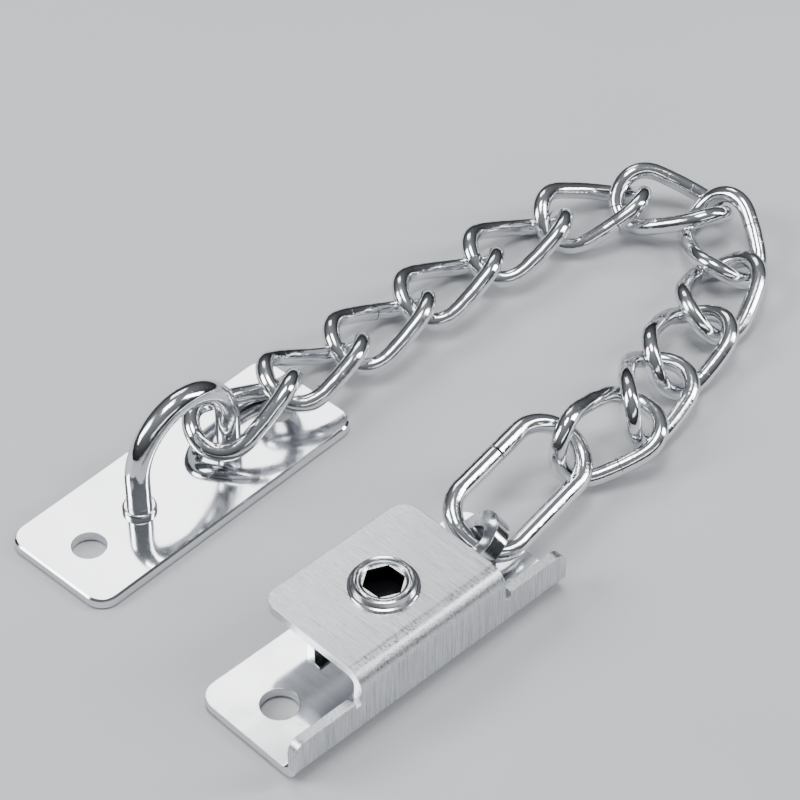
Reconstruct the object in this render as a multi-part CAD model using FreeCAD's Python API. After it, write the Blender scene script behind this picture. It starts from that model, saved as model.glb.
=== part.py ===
import FreeCAD, Part
import math
import os

# Door chain guard, millimetres.
# X runs along the frame plate, Y across it, Z up from the mounting face.
# Origin: centre of the frame plate's back face.

V = FreeCAD.Vector

# Sheet, shared by the frame plate and the lock case
sheet = 2.3
plate_len = 77.5
plate_wid = 30.0
corner_r = 4.5
bevel = 0.45
screw_hole_d = 7.8
screw_inset = 10.4
case_hole_d = 8.4

# Staple
rod_d = 5.5
leg_span = 27.0
leg_height = 9.0
rivet_gap = 0.02
collar_d = 7.6
collar_h = 1.3
collar_round = 0.55

# Curb chain
wire_d = 4.0
link_inner_len = 22.4
link_inner_wid = 11.5
link_twist = 40.0
link_samples = 24

# End ring
ring_wire_d = 4.4
ring_inner_len = 33.4
ring_inner_wid = 12.5
ring_butt_gap = 0.6
ring_butt_x = -2.0

# Lock case, in its own frame: x along the case, y towards its open back
case_len = 77.0
case_wid = 30.0
wall_h = 10.8
bend_r = 4.0
cover_len = 40.8
cover_top = 17.5
cover_corner_r = 4.0
relief_w = 1.6
relief_d = 1.4
wall_corner_r = 3.0
case_centre = V(-4.1, -63.5, 0)
case_heading = -3.0

# Lock collar and screw
boss_d = 15.2
boss_rise = 1.95
boss_foot_h = 0.5
boss_edge = 0.12
boss_waist_r = 6.95
boss_waist_h = 1.0
lip_r = 6.4
lip_round = 0.3
barrel_r = 6.9
barrel_bottom = 10.5
screw_r = 5.82
screw_bore_r = 5.9
screw_top = cover_top + 1.7
screw_base = 13.2
hex_flats = 8.0
hex_turn = 34.0
hex_depth = 4.0
socket_cone = 0.35
screw_land = 0.6
shank_r = 2.5
shank_bottom = 7.15
washer_r = 3.9
washer_bore_r = 2.56
washer_low = 12.2
washer_high = 13.0
clip_low = 11.4
clip_high = 12.1
clip_r = 3.6

# Tongue
tongue_w = 12.4
head_d = 15.2
tongue_t = 3.6
tongue_y = 0.8
tongue_low = 3.0
tongue_tail = -9.0
tongue_bend_x = 19.0
tongue_bend_r = 2.5
tongue_angle = 29.0
tongue_twist = 32.0
tongue_neck = 3.0
tongue_rise = 7.5
eye_d = 7.4
lock_hole_r = 2.75

# Rails which keep the tongue in line
rail_t = 2.4
rail_gap = 0.2
rail_from = -13.0
rail_to = 17.0
lip_low = 6.85
lip_top = 7.7
lip_w = 1.5

# Lay of the chain: advance, heading, climb and roll of each link
chain_start = V(9.5, 2.0, 7.2)
chain_lay = [
    (20.5, -8, 7, -17),
    (20.5, 0, -8, -13),
    (22.0, -2, -1, -9),
    (22.0, -4, 0, -11),
    (21.5, -6, -1, -9),
    (21.5, -21, 0, 0),
    (19.5, -63, 0, 2),
    (19.0, -127, -4, 6),
    (20.5, -158, 3, -5),
    (21.0, -168, 3, -20),
    (19.0, -158, 7, -38),
    (18.5, -191, 2, -42),
]
ring_centre = V(41.1, -60.4, 10.5)
ring_attitude = (186, -2, -26)


def turned(heading, climb, roll):
    """Rotation that points a piece's x axis along a heading, climbs, then rolls about it."""
    about_z = FreeCAD.Rotation(V(0, 0, 1), heading)
    about_y = FreeCAD.Rotation(V(0, 1, 0), -climb)
    about_x = FreeCAD.Rotation(V(1, 0, 0), roll)
    return about_z * about_y * about_x


def placed(shape, centre, attitude):
    moved = shape.copy()
    moved.Placement = FreeCAD.Placement(centre, turned(*attitude))
    return moved


def in_case(shape):
    return placed(shape, case_centre, (case_heading, 0, 0))


def cylinder(radius, low, high, x=0.0, y=0.0):
    return Part.makeCylinder(radius, high - low, V(x, y, low))


def box(x0, x1, y0, y1, z0, z1):
    return Part.makeBox(x1 - x0, y1 - y0, z1 - z0, V(x0, y0, z0))


def tube(outer_r, inner_r, low, high):
    return cylinder(outer_r, low, high).cut(cylinder(inner_r, low, high))


def revolved(points):
    """Solid of revolution about Z of a closed outline given as (radius, height) pairs."""
    outline = Part.makePolygon([V(r, 0, z) for r, z in points + points[:1]])
    return Part.Face(outline).revolve(V(0, 0, 0), V(0, 0, 1), 360)


def edges_where(shape, test):
    return [edge for edge in shape.Edges if test(edge.BoundBox)]


def upright(bound):
    return bound.ZLength > bound.XLength and bound.ZLength > bound.YLength


def oval_point(u, inner_len, inner_wid, wire, twist):
    """Point of a straight-sided oval wire's centreline, u from 0 to 1, twisted along its length."""
    radius = (inner_wid + wire) / 2
    half = (inner_len + wire) / 2 - radius
    bend = math.pi * radius
    length = 4 * half + 2 * bend
    s = u * length
    if s < half:
        x, y = s, -radius
    elif s < half + bend:
        a = (s - half) / radius - math.pi / 2
        x, y = half + radius * math.cos(a), radius * math.sin(a)
    elif s < 3 * half + bend:
        x, y = 2 * half + bend - s, radius
    elif s < 3 * half + 2 * bend:
        a = (s - 3 * half - bend) / radius + math.pi / 2
        x, y = -half + radius * math.cos(a), radius * math.sin(a)
    else:
        x, y = s - length, -radius
    turn = math.radians(-twist) * x / (half + radius)
    return V(x, y * math.cos(turn), y * math.sin(turn))


def swept(curve, start, end, wire):
    """Round wire along part of a curve."""
    spine = Part.Wire([curve.toShape(start, end)])
    section = Part.makeCircle(wire / 2, curve.value(start), curve.tangent(start)[0])
    return spine.makePipeShell([Part.Wire([section])], True, False)


def curb_link():
    points = [
        oval_point(i / link_samples, link_inner_len, link_inner_wid, wire_d, link_twist)
        for i in range(link_samples)
    ]
    curve = Part.BSplineCurve()
    curve.interpolate(Points=points, PeriodicFlag=True)
    first = curve.FirstParameter
    last = curve.LastParameter
    middle = (first + last) / 2
    halves = [
        swept(curve, first, middle, wire_d),
        swept(curve, middle, last, wire_d),
    ]
    return halves[0].fuse(halves[1]).removeSplitter().Solids[0]


def plain_ring():
    """Flat oval of round wire with an open butt joint in one of its straight sides."""
    radius = (ring_inner_wid + ring_wire_d) / 2
    half = (ring_inner_len + ring_wire_d) / 2 - radius
    bar = ring_wire_d / 2
    pieces = []
    for side in (-1, 1):
        pieces.append(Part.makeCylinder(bar, 2 * half, V(-half, side * radius, 0), V(1, 0, 0)))
        bend = Part.makeTorus(radius, bar, V(side * half, 0, 0), V(0, 0, 1))
        outer = radius + ring_wire_d
        cutter = box(0, outer, -outer, outer, -ring_wire_d, ring_wire_d)
        if side < 0:
            cutter = cutter.mirror(V(0, 0, 0), V(1, 0, 0))
        cutter.translate(V(side * half, 0, 0))
        pieces.append(bend.common(cutter))
    ring = pieces[0].multiFuse(pieces[1:]).removeSplitter()
    gap = box(
        -ring_butt_gap / 2, ring_butt_gap / 2, -radius - ring_wire_d, -radius + ring_wire_d,
        -ring_wire_d, ring_wire_d,
    )
    gap.translate(V(ring_butt_x, 0, 0))
    ring = ring.cut(gap)
    return ring.Solids[0]


def bevelled_plate(length, width, thickness, radius, edge):
    plate = box(-length / 2, length / 2, -width / 2, width / 2, 0, thickness)
    plate = plate.makeFillet(radius, edges_where(plate, upright))
    top = edges_where(plate, lambda b: b.ZMin > thickness - 0.01)
    return plate.makeChamfer(edge, top)


def frame_plate():
    plate = bevelled_plate(plate_len, plate_wid, sheet, corner_r, bevel)
    for side in (-1, 1):
        x = side * (plate_len / 2 - screw_inset)
        plate = plate.cut(cylinder(screw_hole_d / 2, 0, sheet, x))
        leg = side * leg_span / 2
        plate = plate.cut(cylinder(rod_d / 2 + rivet_gap, 0, sheet, leg))
    return plate


def staple():
    """Round rod bent to a U: two upright legs and a half-round arch."""
    radius = leg_span / 2
    spring = sheet + leg_height
    left = V(-radius, 0, 0)
    left_spring = V(-radius, 0, spring)
    crown = V(0, 0, spring + radius)
    right_spring = V(radius, 0, spring)
    right = V(radius, 0, 0)
    spine = Part.Wire([
        Part.makeLine(left, left_spring),
        Part.Arc(left_spring, crown, right_spring).toShape(),
        Part.makeLine(right_spring, right),
    ])
    section = Part.Wire([Part.makeCircle(rod_d / 2, left, V(0, 0, 1))])
    return spine.makePipeShell([section], True, True)


def staple_collars():
    inner = rod_d / 2 + rivet_gap
    collars = []
    for side in (-1, 1):
        ring = tube(collar_d / 2, inner, sheet, sheet + collar_h)
        crest = edges_where(
            ring, lambda b: b.ZMin > sheet + collar_h - 0.01 and b.XLength > collar_d - 0.1
        )
        ring = ring.makeFillet(collar_round, crest)
        ring.translate(V(side * leg_span / 2, 0, 0))
        collars.append(ring)
    return Part.makeCompound(collars)


def bent_profile(height, lip):
    """Section of the bent sheet in Y and Z: base and wall, and the cover where lip is true."""
    front = -case_wid / 2
    back = case_wid / 2
    inner_r = bend_r - sheet
    solid = box(0, 1, front, back, 0, height)
    hollow_top = height - sheet if lip else height + 1
    hollow = box(0, 1, front + sheet, back + 1, sheet, hollow_top)
    inner_edges = edges_where(
        hollow, lambda b: b.YMax < front + sheet + 0.01 and b.XLength > 0.5
        and (lip or b.ZMax < sheet + 0.01)
    )
    hollow = hollow.makeFillet(inner_r, inner_edges)
    outer_edges = edges_where(
        solid, lambda b: b.YMax < front + 0.01 and b.XLength > 0.5
        and (lip or b.ZMax < 0.01)
    )
    solid = solid.makeFillet(bend_r, outer_edges)
    return solid.cut(hollow)


def stretched(shape, start, end):
    """The one-millimetre slice drawn out along X between two stations."""
    side = [face for face in shape.Faces if face.BoundBox.XMax < 0.01][0]
    section = side.copy()
    section.translate(V(start, 0, 0))
    return section.extrude(V(end - start, 0, 0))


def rounding_tool(radius, x, y, sx, sy, low, high):
    """What is cut away to round an upright corner at (x, y); sx, sy point outwards."""
    x0, x1 = sorted((x, x - sx * radius))
    y0, y1 = sorted((y, y - sy * radius))
    block = box(x0, x1, y0, y1, low, high)
    return block.cut(cylinder(radius, low, high, x - sx * radius, y - sy * radius))


def lock_case():
    back = case_wid / 2
    front = -case_wid / 2
    base = stretched(bent_profile(wall_h, False), -case_len / 2, case_len / 2)
    hood = stretched(bent_profile(cover_top, True), -cover_len / 2, cover_len / 2)
    body = base.fuse(hood).removeSplitter()
    inner_floor = (back + front + sheet) / 2
    for side in (-1, 1):
        end = side * case_len / 2
        body = body.cut(rounding_tool(corner_r, end, back, side, 1, 0, sheet))
        edge = side * cover_len / 2
        body = body.cut(
            rounding_tool(cover_corner_r, edge, back, side, 1, cover_top - sheet, cover_top)
        )
        # rounded top corner of the front wall
        corner = rounding_tool(wall_corner_r, end, wall_h, side, 1, 0, bend_r)
        corner.rotate(V(0, 0, 0), V(1, 0, 0), 90)
        corner.translate(V(0, front + bend_r, 0))
        body = body.cut(corner)
        # relief notch beside the folded cover
        notch_x = edge + side * relief_w / 2
        notch = box(
            notch_x - relief_w / 2, notch_x + relief_w / 2, front - 1, front + sheet + 1,
            wall_h - relief_d, wall_h + 1,
        )
        body = body.cut(notch)
        hole_x = side * (case_len / 2 - screw_inset)
        body = body.cut(cylinder(case_hole_d / 2, 0, sheet, hole_x, inner_floor))
    body = body.cut(cylinder(barrel_r + rivet_gap, cover_top - sheet, cover_top))
    return body


def lock_collar():
    """Turned bushing in the cover: a flared foot, a waisted side and a raised round lip."""
    foot = boss_d / 2
    foot_top = cover_top + boss_foot_h
    top = cover_top + boss_rise
    crest = []
    for degrees in range(0, 181, 45):
        a = math.radians(degrees)
        crest.append((lip_r + lip_round * math.cos(a), top + lip_round * (math.sin(a) - 1)))
    return revolved([
        (screw_bore_r, barrel_bottom), (barrel_r, barrel_bottom), (barrel_r, cover_top),
        (foot, cover_top), (foot, foot_top - boss_edge), (foot - boss_edge, foot_top),
        (boss_waist_r + boss_edge, foot_top + boss_edge), (boss_waist_r, cover_top + boss_waist_h),
        *crest, (screw_bore_r, top - 2 * lip_round),
    ])


def hexagon(flats, low, high, turn):
    radius = flats / 2 / math.cos(math.pi / 6)
    corners = []
    for i in range(7):
        a = math.radians(turn + 60 * i)
        corners.append(V(radius * math.cos(a), radius * math.sin(a), low))
    return Part.Face(Part.makePolygon(corners)).extrude(V(0, 0, high - low))


def lock_screw():
    """Round bolt with a hexagon socket, a shank for the washer and a plain tip."""
    tip = 0.6
    crown = 0.35
    body = revolved([
        (0, shank_bottom), (shank_r - tip, shank_bottom), (shank_r, shank_bottom + tip),
        (shank_r, clip_low), (clip_r, clip_low), (clip_r, clip_high), (shank_r, clip_high),
        (shank_r, screw_base), (screw_r, screw_base), (screw_r, screw_top - crown),
        (screw_r - crown, screw_top), (0, screw_top),
    ])
    across = hex_flats / 2 / math.cos(math.pi / 6)
    floor = screw_top - socket_cone
    cone = Part.makeCone(across, screw_r - screw_land, socket_cone, V(0, 0, floor))
    body = body.cut(cone)
    return body.cut(hexagon(hex_flats, floor - hex_depth, screw_top, hex_turn))


def screw_washer():
    return tube(washer_r, washer_bore_r, washer_low, washer_high)


def tongue_section(x, twist):
    """Outline of the flat bar at a station of its raised end, turned about the bar's length."""
    across = tongue_w / 2
    up = tongue_t / 2
    corners = [V(x, -across, -up), V(x, across, -up), V(x, across, up), V(x, -across, up)]
    outline = Part.makePolygon(corners + corners[:1])
    outline.rotate(V(0, 0, 0), V(1, 0, 0), -twist)
    return outline


def tongue():
    """Flat bar whose outer end is bent up, twisted and rounded about the eye."""
    across = tongue_w / 2
    up = tongue_t / 2
    low_y = tongue_y - across
    high_y = tongue_y + across
    angle = math.radians(tongue_angle)
    centre_z = tongue_low + tongue_t + tongue_bend_r
    bar = box(tongue_tail, tongue_bend_x, low_y, high_y, tongue_low, tongue_low + tongue_t)
    tail = edges_where(bar, lambda b: upright(b) and b.XMax < tongue_tail + 0.01)
    bar = bar.makeFillet(across - 0.05, tail)
    end_face = [f for f in bar.Faces if f.BoundBox.XMin > tongue_bend_x - 0.01][0]
    bend = end_face.revolve(V(tongue_bend_x, 0, centre_z), V(0, -1, 0), tongue_angle)
    sections = [tongue_section(0, 0), tongue_section(tongue_neck, tongue_twist)]
    neck = Part.makeLoft(sections, True, True)
    lug = box(tongue_neck, tongue_rise, -across, across, -up, up)
    head = cylinder(head_d / 2, -up, up, tongue_rise)
    head = head.common(box(tongue_neck, tongue_rise + head_d, -head_d, head_d, -up, up))
    lug = lug.fuse(head)
    lug = lug.cut(cylinder(eye_d / 2, -up, up, tongue_rise))
    lug.rotate(V(0, 0, 0), V(1, 0, 0), -tongue_twist)
    end = neck.fuse(lug)
    end.rotate(V(0, 0, 0), V(0, -1, 0), tongue_angle)
    middle_r = tongue_bend_r + up
    end.translate(V(
        tongue_bend_x + middle_r * math.sin(angle), tongue_y, centre_z - middle_r * math.cos(angle),
    ))
    body = bar.fuse(bend).fuse(end).removeSplitter()
    return body.cut(cylinder(lock_hole_r, tongue_low, tongue_low + tongue_t))


def tongue_rails():
    """Two angle rails welded to the base, one each side of the tongue."""
    rails = []
    for side in (-1, 1):
        near = tongue_w / 2 + rail_gap
        far = near + rail_t
        post = box(rail_from, rail_to, near, far, sheet, lip_top)
        lip = box(rail_from, rail_to, near - lip_w, near, lip_low, lip_top)
        rail = post.fuse(lip).removeSplitter()
        if side < 0:
            rail = rail.mirror(V(0, 0, 0), V(0, 1, 0))
        rail.translate(V(0, tongue_y, 0))
        rails.append(rail)
    return Part.makeCompound(rails)


os.makedirs("parts", exist_ok=True)
nodes = {
    "frame_plate": frame_plate(),
    "staple": staple(),
    "staple_collars": staple_collars(),
    "end_ring": placed(plain_ring(), ring_centre, ring_attitude),
    "tongue": in_case(tongue()),
    "tongue_rails": in_case(tongue_rails()),
    "lock_case": in_case(lock_case()),
    "lock_collar": in_case(lock_collar()),
    "lock_screw": in_case(lock_screw()),
    "screw_washer": in_case(screw_washer()),
}
link = curb_link()
joint = chain_start
for number, (advance, heading, climb, roll) in enumerate(chain_lay, start=1):
    along = turned(heading, climb, roll).multVec(V(1, 0, 0))
    centre = joint + along * (advance / 2)
    nodes["chain_link_%02d" % number] = placed(link, centre, (heading, climb, roll))
    joint = joint + along * advance

for name, shape in nodes.items():
    shape.exportStep("parts/%s.step" % name)
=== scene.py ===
import math

import bmesh
import bpy
import numpy
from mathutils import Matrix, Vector, noise


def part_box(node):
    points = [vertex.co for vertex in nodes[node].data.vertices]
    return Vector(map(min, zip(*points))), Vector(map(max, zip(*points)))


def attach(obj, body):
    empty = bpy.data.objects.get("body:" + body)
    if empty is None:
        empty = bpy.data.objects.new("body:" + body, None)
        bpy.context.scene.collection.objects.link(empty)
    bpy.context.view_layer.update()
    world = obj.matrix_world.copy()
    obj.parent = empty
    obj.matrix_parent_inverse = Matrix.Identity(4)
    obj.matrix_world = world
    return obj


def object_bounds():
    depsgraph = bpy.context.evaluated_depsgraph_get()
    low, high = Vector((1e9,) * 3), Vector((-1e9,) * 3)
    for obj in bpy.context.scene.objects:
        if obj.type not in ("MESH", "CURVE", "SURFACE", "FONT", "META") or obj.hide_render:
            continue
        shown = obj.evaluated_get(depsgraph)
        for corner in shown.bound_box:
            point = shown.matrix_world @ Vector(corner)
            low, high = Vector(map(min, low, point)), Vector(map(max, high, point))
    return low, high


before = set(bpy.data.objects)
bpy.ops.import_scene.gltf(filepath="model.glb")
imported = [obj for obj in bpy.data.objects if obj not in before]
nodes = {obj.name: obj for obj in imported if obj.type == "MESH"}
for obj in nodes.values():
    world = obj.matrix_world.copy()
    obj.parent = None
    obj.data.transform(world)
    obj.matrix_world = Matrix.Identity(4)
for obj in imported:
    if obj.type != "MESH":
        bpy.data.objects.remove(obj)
cad_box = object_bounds()
mm = 0.001

# Viewpoint: the camera looks down across the object from the lock case's side
view_target = Vector((51.3, -16.2, 0.0)) * mm
view_turn = math.radians(43.1)
view_drop = math.radians(43.91)
view_distance = 0.700
view_lens = 140.3
sensor_width = 36.0
nearest_seen = 0.01

# Soft lights: place, size and power; all of them face the view's target
soft_lights = {
    "back_softbox": ((0.50, 0.60, 0.78), (0.44, 0.34), 1.3),
    "left_softbox": ((-0.62, 0.50, 0.62), (0.45, 0.60), 5.0),
    "right_strip": ((0.70, -0.62, 0.55), (0.22, 0.80), 4.6),
    "front_strip": ((-0.10, -0.85, 0.42), (0.80, 0.14), 0.7),
    "top_panel": ((0.05, -0.02, 1.30), (0.50, 0.50), 6.0),
}

# Surroundings: dim at the horizon, brighter overhead
sky_colour = (0.92, 0.96, 1.0)
sky_low = 0.02
sky_high = 0.30

# Floor
floor_half = 1.6
floor_cells = 8
floor_gap = 0.1 * mm

# Rays that the shading of a rounded edge takes
bevel_samples = 4

# The lock case lies turned a little from the frame plate. Its base and cover carry their
# own finishes, which change over between these heights: above the floor for the base,
# below the top for the cover.
case_turn = math.radians(3.0)
base_ends = (2.7 * mm, 3.4 * mm)
cover_begins = (2.6 * mm, 2.2 * mm)

# Depths below the screw's top between which the painted shade in its socket turns black
socket_shade_depths = (1.3 * mm, 0.7 * mm)

# Chain wire and the butt seam of each link
wire_r = 2.0 * mm
seam_along = 3.5 * mm
seam_reach = 1.2 * mm
seam_slice = 0.45 * mm
seam_width = 0.22 * mm
seam_foot = 0.002 * mm
seam_proud = 0.015 * mm
seam_root = 0.25 * mm
seam_sides = 40
seam_wander = 1.3

chain_links = sorted(name for name in nodes if name.startswith("chain_link_"))


def aim(obj, target):
    obj.rotation_euler = (Vector(target) - obj.location).to_track_quat("-Z", "Y").to_euler()


def add_camera():
    level = math.cos(view_drop)
    forward = Vector((
        level * math.cos(view_turn), level * math.sin(view_turn), -math.sin(view_drop),
    ))
    camera = bpy.data.objects.new("camera", bpy.data.cameras.new("camera"))
    bpy.context.scene.collection.objects.link(camera)
    camera.data.lens = view_lens
    camera.data.sensor_width = sensor_width
    camera.data.clip_start = nearest_seen
    camera.location = view_target - forward * view_distance
    aim(camera, view_target)
    bpy.context.scene.camera = camera


def soft_light(name, place, size, power):
    lamp = bpy.data.lights.new(name, "AREA")
    lamp.shape = "RECTANGLE"
    lamp.size, lamp.size_y = size
    lamp.energy = power
    obj = bpy.data.objects.new(name, lamp)
    bpy.context.scene.collection.objects.link(obj)
    obj.location = Vector(place)
    aim(obj, view_target)


def add_lights():
    for name, (place, size, power) in soft_lights.items():
        soft_light(name, place, size, power)
    world = bpy.data.worlds.new("studio")
    bpy.context.scene.world = world
    world.use_nodes = True
    tree = world.node_tree
    direction = tree.nodes.new("ShaderNodeTexCoord")
    parts = tree.nodes.new("ShaderNodeSeparateXYZ")
    height = tree.nodes.new("ShaderNodeMapRange")
    tree.links.new(direction.outputs["Generated"], parts.inputs[0])
    tree.links.new(parts.outputs["Z"], height.inputs["Value"])
    height.inputs["To Min"].default_value = sky_low
    height.inputs["To Max"].default_value = sky_high
    background = tree.nodes["Background"]
    background.inputs["Color"].default_value = (*sky_colour, 1)
    tree.links.new(height.outputs["Result"], background.inputs["Strength"])


class Shader:
    """A Principled material and short ways to add the nodes that feed it."""

    def __init__(self, name, colour, metallic, roughness):
        self.material = bpy.data.materials.new(name)
        self.material.use_nodes = True
        self.tree = self.material.node_tree
        self.surface = self.tree.nodes["Principled BSDF"]
        self.surface.inputs["Base Color"].default_value = (*colour, 1)
        self.surface.inputs["Metallic"].default_value = metallic
        self.surface.inputs["Roughness"].default_value = roughness
        self.place = self.node("ShaderNodeTexCoord").outputs["Object"]

    def node(self, kind, **settings):
        node = self.tree.nodes.new(kind)
        for key, value in settings.items():
            setattr(node, key, value)
        return node

    def feed(self, socket, value):
        if isinstance(value, bpy.types.NodeSocket):
            self.tree.links.new(value, socket)
        else:
            socket.default_value = value

    def noise(self, scale, detail=3.0, stretch=(1, 1, 1), turn=(0, 0, 0), rough=0.55):
        """Noise over the object's own space; scale counts cells per millimetre."""
        mapping = self.node("ShaderNodeMapping")
        self.feed(mapping.inputs["Vector"], self.place)
        mapping.inputs["Scale"].default_value = [scale / mm / s for s in stretch]
        mapping.inputs["Rotation"].default_value = turn
        texture = self.node("ShaderNodeTexNoise")
        self.feed(texture.inputs["Vector"], mapping.outputs["Vector"])
        texture.inputs["Scale"].default_value = 1.0
        texture.inputs["Detail"].default_value = detail
        texture.inputs["Roughness"].default_value = rough
        return texture.outputs["Fac"]

    def spread(self, value, low, high, out_low=0.0, out_high=1.0):
        """Maps low..high to out_low..out_high, held at both ends."""
        node = self.node("ShaderNodeMapRange")
        node.interpolation_type = "SMOOTHSTEP"
        self.feed(node.inputs["Value"], value)
        node.inputs["From Min"].default_value = low
        node.inputs["From Max"].default_value = high
        node.inputs["To Min"].default_value = out_low
        node.inputs["To Max"].default_value = out_high
        return node.outputs["Result"]

    def math(self, operation, a, b):
        node = self.node("ShaderNodeMath", operation=operation)
        self.feed(node.inputs[0], a)
        self.feed(node.inputs[1], b)
        return node.outputs["Value"]

    def blend(self, mask, a, b):
        """a where mask is 0, b where it is 1; for single numbers."""
        node = self.node("ShaderNodeMix", data_type="FLOAT")
        self.feed(node.inputs["Factor"], mask)
        self.feed(node.inputs["A"], a)
        self.feed(node.inputs["B"], b)
        return node.outputs["Result"]

    def tint(self, mask, a, b):
        node = self.node("ShaderNodeMix", data_type="RGBA")
        self.feed(node.inputs[0], mask)
        node.inputs[6].default_value = (*a, 1)
        node.inputs[7].default_value = (*b, 1)
        self.feed(self.surface.inputs["Base Color"], node.outputs[2])

    def along(self, axis):
        """Coordinate of the point along X, Y or Z of the object's space, in metres."""
        node = self.node("ShaderNodeSeparateXYZ")
        self.feed(node.inputs[0], self.place)
        return node.outputs[axis]

    def roughness(self, value):
        self.feed(self.surface.inputs["Roughness"], value)

    def bump(self, height, depth, distance=0.02, edge=0.0):
        """Relief from a height; edge rounds the sharp edges' shading, in millimetres."""
        node = self.node("ShaderNodeBump")
        if edge:
            bevel = self.node("ShaderNodeBevel", samples=bevel_samples)
            bevel.inputs["Radius"].default_value = edge * mm
            self.feed(node.inputs["Normal"], bevel.outputs["Normal"])
        node.inputs["Strength"].default_value = depth
        node.inputs["Distance"].default_value = distance * mm
        self.feed(node.inputs["Height"], height)
        self.feed(self.surface.inputs["Normal"], node.outputs["Normal"])


def polished_plate():
    """Mirror-polished sheet: fine random hairlines, faint smears and a slight waviness."""
    shader = Shader("polished_plate", (0.80, 0.81, 0.83), 1.0, 0.08)
    smear = shader.noise(0.06, 4, (1, 2.5, 1))
    hair_a = shader.noise(4.0, 2, (14, 1, 1), (0, 0, 0.5))
    hair_b = shader.noise(4.0, 2, (1, 16, 1), (0, 0, 0.35))
    hairs = shader.math(
        "MAXIMUM", shader.spread(hair_a, 0.66, 0.80), shader.spread(hair_b, 0.68, 0.82),
    )
    base = shader.spread(smear, 0.35, 0.75, 0.07, 0.17)
    shader.roughness(shader.blend(hairs, base, 0.26))
    shader.tint(smear, (0.84, 0.85, 0.87), (0.72, 0.73, 0.76))
    wave = shader.math("MULTIPLY", shader.noise(0.10, 1), 6.0)
    shader.bump(shader.math("ADD", wave, shader.math("MULTIPLY", hairs, -0.35)), 0.35, edge=0.12)
    return shader.material


def polished_wire(name, colour, ripple):
    """Drawn and barrel-polished round wire: shallow dents, soft ripples, tiny pits."""
    shader = Shader(name, colour, 1.0, 0.12)
    dents = shader.noise(0.45, 2)
    pits = shader.spread(shader.noise(2.6, 2), 0.70, 0.82)
    smear = shader.noise(0.16, 4)
    base = shader.spread(smear, 0.3, 0.75, 0.07, 0.20)
    shader.roughness(shader.blend(pits, base, 0.42))
    shader.tint(smear, colour, [c * 0.86 for c in colour])
    height = shader.math("SUBTRACT", shader.math("MULTIPLY", dents, ripple), pits)
    shader.bump(height, 0.4)
    return shader.material


def case_sheet():
    """Bent sheet: cover brushed across, wall brushed upright, base left polished."""
    shader = Shader("case_sheet", (0.76, 0.77, 0.79), 1.0, 0.25)
    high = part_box("lock_case")[1]
    cover = shader.spread(shader.along("Z"), high.z - cover_begins[0], high.z - cover_begins[1])
    base = shader.spread(shader.along("Z"), *base_ends, 1.0, 0.0)
    fine = shader.blend(
        cover,
        shader.noise(5.5, 3, (1, 1, 60), (0, 0, case_turn), 0.7),
        shader.noise(5.5, 3, (1, 90, 1), (0, 0, case_turn), 0.7),
    )
    broad = shader.blend(
        cover,
        shader.noise(1.6, 2, (1, 1, 16), (0, 0, case_turn)),
        shader.noise(1.8, 2, (1, 30, 1), (0, 0, case_turn)),
    )
    streak = shader.blend(0.25, fine, broad)
    smear = shader.noise(0.09, 4)
    grained = shader.spread(streak, 0.34, 0.66, 0.22, 0.38)
    brushed = shader.math("ADD", grained, shader.spread(smear, 0.4, 0.8, 0.0, 0.05))
    mirror = shader.spread(smear, 0.35, 0.75, 0.08, 0.19)
    shader.roughness(shader.blend(base, brushed, mirror))
    level = shader.blend(base, shader.spread(streak, 0.30, 0.70), 0.85)
    shader.tint(level, (0.52, 0.53, 0.55), (0.86, 0.87, 0.89))
    shader.bump(shader.blend(base, streak, 0.5), 0.7, 0.06, edge=0.25)
    return shader.material


def tongue_steel():
    """Rolled bar, tumbled bright: long faint grain and a few rubbed patches."""
    shader = Shader("tongue_steel", (0.84, 0.85, 0.87), 1.0, 0.16)
    grain = shader.noise(2.4, 2, (14, 1, 1), (0, 0, 0.05))
    smear = shader.noise(0.12, 3)
    rolled = shader.spread(grain, 0.3, 0.75, 0.09, 0.16)
    rubbed = shader.spread(smear, 0.4, 0.8, 0.0, 0.10)
    shader.roughness(shader.math("ADD", rolled, rubbed))
    shader.tint(smear, (0.86, 0.87, 0.89), (0.74, 0.75, 0.78))
    shader.bump(grain, 0.18, 0.02, edge=0.3)
    return shader.material


def screw_steel():
    """Turned steel with a fine grit, and painted shade that turns the socket black deep down."""
    shader = Shader("screw_steel", (0.52, 0.53, 0.55), 1.0, 0.25)
    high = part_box("lock_screw")[1]
    darkest, lightest = (high.z - depth for depth in socket_shade_depths)
    # Painted shade: 1 deep in the socket, where the hole is in shade, 0 towards the top
    socket_shade_mask = shader.spread(shader.along("Z"), darkest, lightest, 1.0, 0.0)
    grit = shader.noise(3.5, 4)
    # The tint paints the socket's shade near black
    shader.tint(socket_shade_mask, (0.62, 0.63, 0.65), (0.035, 0.036, 0.04))
    shader.roughness(shader.blend(socket_shade_mask, shader.spread(grit, 0.3, 0.7, 0.14, 0.30), 0.42))
    shader.bump(grit, 0.3, 0.03, edge=0.12)
    return shader.material


def seam_steel():
    """The dull line where the two ends of a link's wire meet."""
    shader = Shader("seam_steel", (0.16, 0.155, 0.15), 1.0, 0.5)
    grain = shader.noise(3.0, 4)
    shader.roughness(shader.spread(grain, 0.3, 0.7, 0.40, 0.65))
    shader.tint(grain, (0.10, 0.095, 0.09), (0.30, 0.29, 0.28))
    shader.bump(grain, 0.5, 0.05)
    return shader.material


def floor_paper():
    shader = Shader("floor_paper", (0.62, 0.63, 0.65), 0.0, 0.55)
    fibre = shader.noise(1.2, 4)
    cloud = shader.noise(0.01, 2)
    shader.tint(cloud, (0.60, 0.61, 0.63), (0.68, 0.69, 0.71))
    shader.roughness(shader.spread(fibre, 0.3, 0.7, 0.50, 0.62))
    shader.bump(fibre, 0.15, 0.03)
    return shader.material


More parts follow.
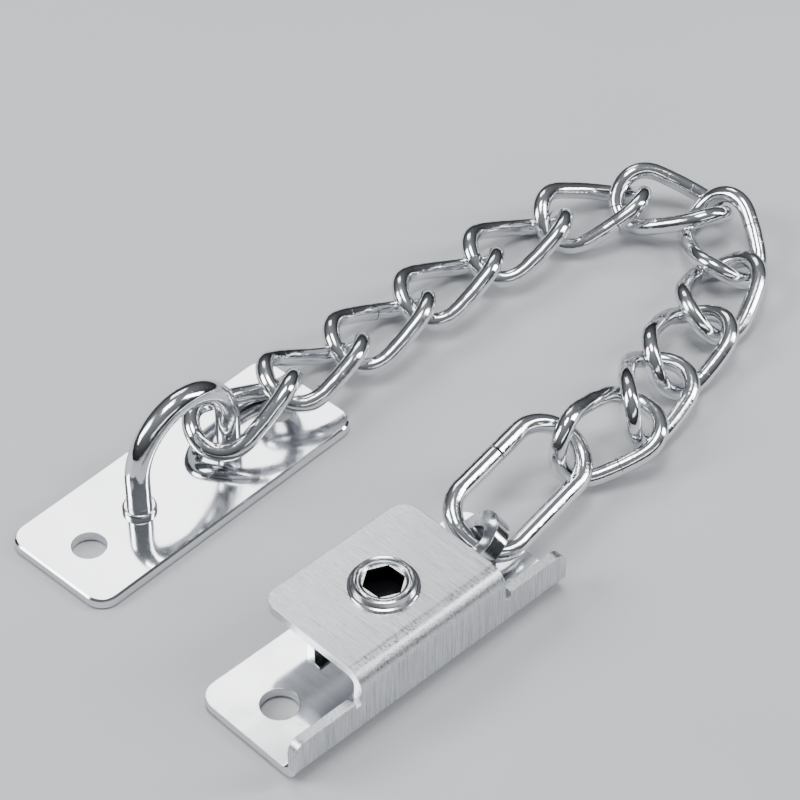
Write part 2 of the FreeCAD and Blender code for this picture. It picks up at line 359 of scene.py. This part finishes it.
def mesh_object(name, bm, material, smooth=True):
    mesh = bpy.data.meshes.new(name)
    bm.to_mesh(mesh)
    bm.free()
    mesh.materials.append(material)
    for face in mesh.polygons:
        face.use_smooth = smooth
    obj = bpy.data.objects.new(name, mesh)
    bpy.context.scene.collection.objects.link(obj)
    return obj


def add_floor():
    bm = bmesh.new()
    bmesh.ops.create_grid(bm, x_segments=floor_cells, y_segments=floor_cells, size=floor_half)
    floor = mesh_object("floor", bm, floor_paper(), False)
    floor.location = (view_target.x, view_target.y, min(0.0, cad_box[0][2]) - floor_gap)


def paint(name, material):
    obj = nodes[name]
    obj.data.materials.clear()
    obj.data.materials.append(material)


def paint_frame():
    plate = polished_plate()
    rod = polished_wire("polished_rod", (0.82, 0.83, 0.85), 5.0)
    chain = polished_wire("chain_steel", (0.83, 0.84, 0.86), 7.0)
    tongue = tongue_steel()
    screw = screw_steel()
    paint("frame_plate", plate)
    for name in ("staple", "staple_collars", "lock_collar"):
        paint(name, rod)
    for name in chain_links + ["end_ring"]:
        paint(name, chain)
    for name in ("tongue", "tongue_rails"):
        paint(name, tongue)
    for name in ("lock_screw", "screw_washer"):
        paint(name, screw)
    paint("lock_case", case_sheet())


def wire_place(name, along, side):
    """Centre and direction of a link's wire, a distance along the link from its middle."""
    mesh = nodes[name].data
    points = numpy.empty(len(mesh.vertices) * 3)
    mesh.vertices.foreach_get("co", points)
    points = points.reshape(-1, 3)
    middle = (points.min(axis=0) + points.max(axis=0)) / 2
    axes = numpy.linalg.eigh(numpy.cov((points - middle).T))[1]
    length_axis = axes[:, 2]
    length_axis = length_axis * numpy.sign(length_axis[0])
    width_axis = axes[:, 1] * numpy.sign(axes[1, 1])
    forward = (points - middle) @ length_axis
    sideways = (points - middle) @ width_axis
    centres = []
    for station in (along - seam_reach, along, along + seam_reach):
        near = (abs(forward - station) < seam_slice) & (sideways * side > 0)
        ring = points[near]
        centres.append((ring.min(axis=0) + ring.max(axis=0)) / 2)
    direction = centres[2] - centres[0]
    return Vector(centres[1]), Vector(direction).normalized()


def add_seam(number, name, along, side, material):
    """A closed hair-thin band round the wire, as wide as the joint between its two ends."""
    centre, direction = wire_place(name, along, side)
    turn = direction.to_track_quat("Z", "Y")
    root = wire_r - seam_root
    foot = wire_r + seam_foot
    crest = wire_r + seam_proud
    profile = [(root, -1.0), (foot, -1.0), (crest, -0.5), (crest, 0.5), (foot, 1.0), (root, 1.0)]
    bm = bmesh.new()
    rings = []
    for i in range(seam_sides):
        a = 2 * math.pi * i / seam_sides
        around = Vector((math.cos(a) * seam_wander, math.sin(a) * seam_wander, number))
        wander = noise.noise(around) * seam_width
        row = []
        for radius, across in profile:
            local = Vector((
                radius * math.cos(a), radius * math.sin(a), across * seam_width / 2 + wander,
            ))
            row.append(bm.verts.new(centre + turn @ local))
        rings.append(row)
    for i, row in enumerate(rings):
        following = rings[(i + 1) % seam_sides]
        for k in range(len(profile)):
            after = (k + 1) % len(profile)
            bm.faces.new((row[k], following[k], following[after], row[after]))
    bmesh.ops.recalc_face_normals(bm, faces=bm.faces)
    seam = mesh_object("link_seam_%02d" % number, bm, material)
    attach(seam, "link_%02d" % number)


def add_seams():
    material = seam_steel()
    for number, name in enumerate(chain_links, start=1):
        side = 1 if number % 2 else -1
        add_seam(number, name, seam_along, side, material)


bpy.context.scene.view_settings.look = "AgX - Medium High Contrast"
add_camera()
add_lights()
add_floor()
paint_frame()
add_seams()
